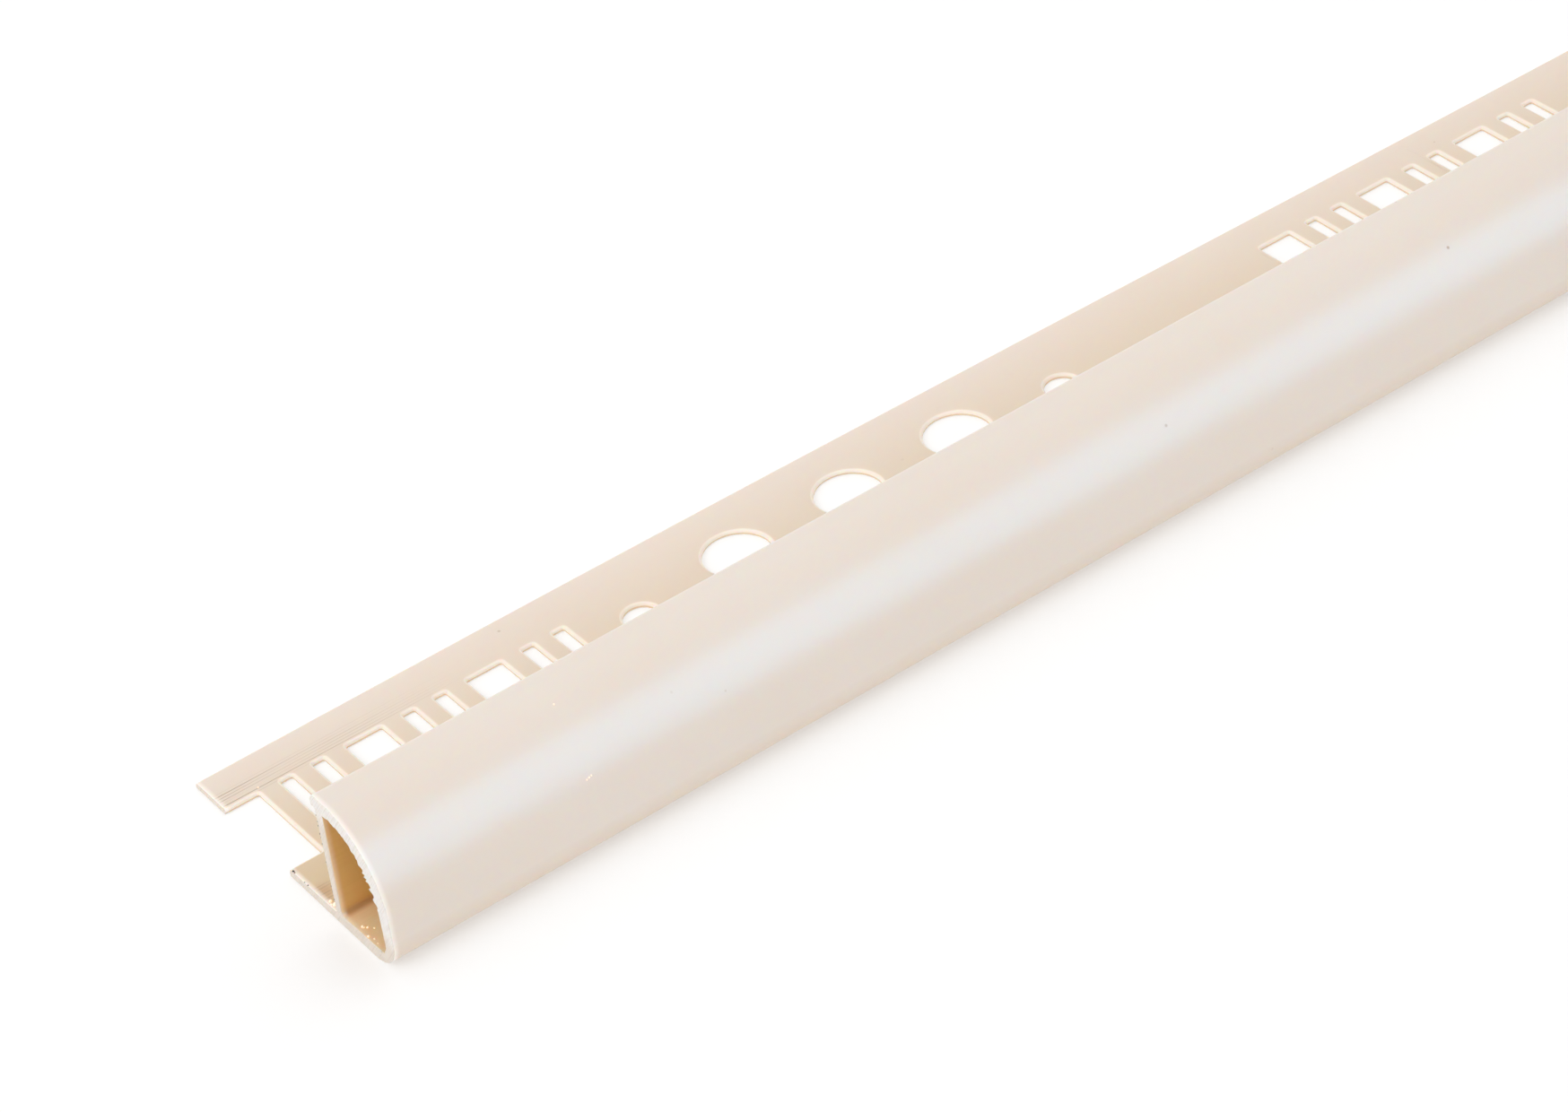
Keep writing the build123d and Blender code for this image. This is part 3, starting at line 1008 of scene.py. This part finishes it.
# %% [markdown]
# ## Swarf
# A few crumbs of pale swarf cling to the chamber's floor, to the foot of the web and to the round face,
# because freshly cut plastic is charged with static. Particles could scatter them, but these lie where the
# saw left them, so their places are listed. Each crumb is an icosphere that noise makes uneven, with its
# middle just above the surface, so that none floats. They are one joined piece.

# %% Crumbs left by the saw
CRUMB_LEAST, CRUMB_SWELL = 0.55, 0.75
LIFT_PARTS = 6  # a crumb's middle is a sixth of its size above the surface
SWARF = (  # x, y, z and size
    (0.46, 4.72, 1.0, 0.14), (0.66, 4.50, 1.0, 0.09), (0.22, 3.69, 1.0, 0.13), (0.38, 3.25, 1.0, 0.08),
    (0.95, 4.15, 1.0, 0.07), (0.30, 2.70, 1.0, 0.09), (0.33, 8.56, 0.73, 0.13), (0.36, 8.06, 0.74, 0.15),
    (0.20, 8.30, 0.73, 0.08), (0.55, 7.60, 0.78, 0.08), (16.20, 0.35, 7.01, 0.06), (16.38, 0.37, 7.07, 0.07),
    (16.58, 0.39, 7.13, 0.06), (16.80, 4.18, 10.72, 0.07), (2.94, 21.90, 0.47, 0.06),
)


def crumbs(places):
    """Uneven crumbs, each sunk into its surface by nearly half."""
    bm = bmesh.new()
    for i, (x, y, z, size) in enumerate(places):
        crumb = bmesh.ops.create_icosphere(bm, subdivisions=2, radius=size)["verts"]
        for vert in crumb:
            vert.co *= CRUMB_LEAST + CRUMB_SWELL * unevenness(vert.co + Vector((i, 0, 0)), size)
        bmesh.ops.translate(bm, verts=crumb, vec=(x, y, z + size / LIFT_PARTS))
    return bm


print("crumbs of swarf:", len(SWARF))

# %% [markdown]
# ## Ground PVC
# A crumb is ground plastic, so it is whiter and duller than the bar. It is also lit from below, by the light
# that comes up through the plastic it lies on. Subsurface can't pass light from one piece to another, so a
# little warm emission stands for it.

# %% Rigid PVC, ground to swarf
SWARF_WHITE, SWARF_CREAM, SWARF_ROUGHNESS = "#FFFCF6", "#FFF4E2", 0.5
SWARF_GLOW, SWARF_GLOW_STRENGTH = "#FFC880", 0.35
SWARF_GRAIN, SWARF_GRAIN_DEPTH = 0.08, 0.004


def ground_pvc():
    """Nearly white and dull, with a warm glow from below."""
    material, tree, surface, place = new_material("rigid_PVC_ground_to_swarf")
    grain = add_node(tree, "TexNoise", {"Vector": place, "Scale": 1 / (SWARF_GRAIN * MM), "Detail": 2.0})
    grain = grain.outputs["Fac"]
    colour = add_node(tree, "Mix", {0: grain, 6: linear(SWARF_WHITE), 7: linear(SWARF_CREAM)},
                      data_type="RGBA").outputs[2]
    relief = add_node(tree, "Bump", {"Height": grain, "Distance": SWARF_GRAIN_DEPTH * MM})
    shader = add_node(tree, "BsdfPrincipled", {
        "IOR": PVC["IOR"], "Base Color": colour, "Roughness": SWARF_ROUGHNESS,
        "Normal": relief.outputs["Normal"],
        "Emission Color": linear(SWARF_GLOW), "Emission Strength": SWARF_GLOW_STRENGTH})
    tree.links.new(shader.outputs["BSDF"], surface)
    return material


finish_piece("saw_swarf", crumbs(SWARF), [ground_pvc()])

# %% [markdown]
# ## Grit
# The saw bench left a few dark grains on the cut edge of the flange, in the front corner of the chamber and
# up the rear edge of the web. They could be specks of colour, but they stand proud of the cut, so they are
# made like the swarf, smaller, with a brown that is nearly black and a little gloss, as oily dust has.

# %% Oily grit from the saw bench
GRIT_BLACK, GRIT_BROWN = "#2A211A", "#5B4734"
GRIT_GLOSSY, GRIT_DULL = 0.35, 0.6
WEB_EDGE = (0.085, 7.345)
WEB_GRIT = (  # z and size
    (9.30, 0.060), (8.75, 0.050), (8.40, 0.060), (7.70, 0.065), (7.35, 0.050), (6.80, 0.060),
    (5.20, 0.050), (4.30, 0.050), (3.10, 0.060), (2.60, 0.050), (1.90, 0.060),
)
GRIT = (  # x, y, z and size
    (0.12, 12.86, 0.64, 0.09), (0.10, 12.66, 0.65, 0.05), (0.09, 10.99, 0.68, 0.05), (0.10, 1.92, 1.02, 0.07),
    (0.08, 11.40, 0.67, 0.04), *((*WEB_EDGE, z, size) for z, size in WEB_GRIT),
)


def oily_grit():
    """Nearly black, with a little gloss."""
    material, tree, surface, place = new_material("grit_oily")
    grain = add_node(tree, "TexNoise", {"Vector": place, "Scale": 1 / (SWARF_GRAIN * MM)}).outputs["Fac"]
    colour = add_node(tree, "Mix", {0: grain, 6: linear(GRIT_BLACK), 7: linear(GRIT_BROWN)},
                      data_type="RGBA").outputs[2]
    gloss = add_node(tree, "MapRange", {"Value": grain, "To Min": GRIT_GLOSSY, "To Max": GRIT_DULL})
    shader = add_node(tree, "BsdfPrincipled", {"Base Color": colour, "Roughness": gloss.outputs["Result"]})
    tree.links.new(shader.outputs["BSDF"], surface)
    return material


finish_piece("bench_grit", crumbs(GRIT), [oily_grit()])

# %% [markdown]
# ## Floor
# The trim lies on a plain white table. A cove could sweep up behind it, but the camera looks down and sees
# only the table. A little emission stands for the light that a real white table scatters from far outside
# the view, and keeps the table white inside the punched holes.

# %% White table
TABLE_SIZE, TABLE_WHITE, TABLE_ROUGHNESS, TABLE_GLOW = 40.0, "#D6D6D6", 0.9, 0.33

bpy.ops.mesh.primitive_plane_add(size=TABLE_SIZE)
floor = bpy.context.object
floor.name = "white_table"
table, tree, surface, _ = new_material("white_table")
shader = add_node(tree, "BsdfPrincipled", {
    "Base Color": linear(TABLE_WHITE), "Roughness": TABLE_ROUGHNESS,
    "Emission Color": linear(WHITE), "Emission Strength": TABLE_GLOW})
tree.links.new(shader.outputs["BSDF"], surface)
floor.data.materials.append(table)
floor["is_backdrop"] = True
print("floor, m:", TABLE_SIZE)

# %% [markdown]
# ## Light tent
# Small goods are photographed in a white tent, which lights them from everywhere with no hard shadow. Large
# lamps could stand for its walls, but the world does it with less noise: brightest overhead, dimmer towards
# the horizon, and darker and warmer in front, where the tent is open for the camera.

# %% Tent all round
HORIZON_LIGHT, ZENITH_LIGHT = 0.57, 1.10
OPEN_FRONT, OPENING_EDGE, OPENING_MIDDLE = "#E4CDB9", 0.2, 0.9

world = bpy.data.worlds.new("light_tent")
scene.world = world
world.use_nodes = True
tree = world.node_tree
direction = add_node(tree, "TexCoord").outputs["Generated"]
upwards = add_node(tree, "SeparateXYZ", {"Vector": direction}).outputs["Z"]
strength = add_node(tree, "MapRange", {"Value": upwards, "To Min": HORIZON_LIGHT, "To Max": ZENITH_LIGHT})
forwards = add_node(tree, "VectorMath", {0: direction, 1: (0, -1, 0)}, operation="DOT_PRODUCT")
opening = add_node(tree, "MapRange", {
    "Value": forwards.outputs["Value"], "From Min": OPENING_EDGE, "From Max": OPENING_MIDDLE})
tent = add_node(tree, "Mix", {0: opening.outputs["Result"], 6: linear(WHITE), 7: linear(OPEN_FRONT)},
                data_type="RGBA")
background = tree.nodes["Background"]
tree.links.new(tent.outputs[2], background.inputs["Color"])
tree.links.new(strength.outputs["Result"], background.inputs["Strength"])
print("tent light from horizon to zenith:", HORIZON_LIGHT, ZENITH_LIGHT)

# %% [markdown]
# ## Softboxes
# A long softbox in front draws the broad cool highlight along the round face. Its place follows from the
# highlight: a reflection leaves at the angle at which it arrives, so the middle of the highlight and the
# camera give its height, and its roll makes the highlight widen along the bar. It adds gloss only, since the
# tent already lights the body colour. A second, small softbox beyond the sawn end brightens the cut and the
# start of the chamber's floor.

# %% Softboxes
STRIP_PLACE, STRIP_AIM, STRIP_SIZE = (0.0, -1.32, 0.82), (0.0, 0.0, 0.0), (3.6, 1.72)
STRIP_RADIANCE, STRIP_BLUE, STRIP_ROLL = 5.0, "#92D6FF", -15.0
END_PLACE, END_AIM, END_SIZE, END_RADIANCE = (-1.85, -0.25, 1.05), (-0.6, 0.0, 0.0), (1.0, 1.0), 2.0


def softbox(name, place, aim, size, radiance, colour, roll=0.0):
    """A rectangular soft light whose face has this radiance, rolled by some degrees about its aim."""
    lamp = bpy.data.lights.new(name, "AREA")
    lamp.shape = "RECTANGLE"
    lamp.size, lamp.size_y = size
    lamp.energy = radiance * math.pi * size[0] * size[1]
    lamp.color = linear(colour)[:3]
    box = bpy.data.objects.new(name, lamp)
    box.location = place
    box.rotation_mode = "QUATERNION"
    turn = (Vector(aim) - Vector(place)).to_track_quat("-Z", "Y")
    box.rotation_quaternion = turn @ Quaternion((0, 0, 1), math.radians(roll))
    scene.collection.objects.link(box)
    print(name, "power, W:", round(lamp.energy, 1))
    return box


strip = softbox("front_softbox", STRIP_PLACE, STRIP_AIM, STRIP_SIZE, STRIP_RADIANCE, STRIP_BLUE, STRIP_ROLL)
strip.visible_diffuse = False
softbox("end_softbox", END_PLACE, END_AIM, END_SIZE, END_RADIANCE, WHITE)
scene.view_settings.view_transform = "Standard"

# %% [markdown]
# ## Sizes
# A finer mesh must not change the part's size. The box of the finished model is set against the box of the
# imported part, and how far each corner moved is printed.

# %% Compare the sizes and finish
new_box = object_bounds()
moved = [round((new - cad) / MM, 3) for i in (0, 1) for new, cad in zip(new_box[i], cad_box[i])]
print("corners of the box moved by, mm:", moved)
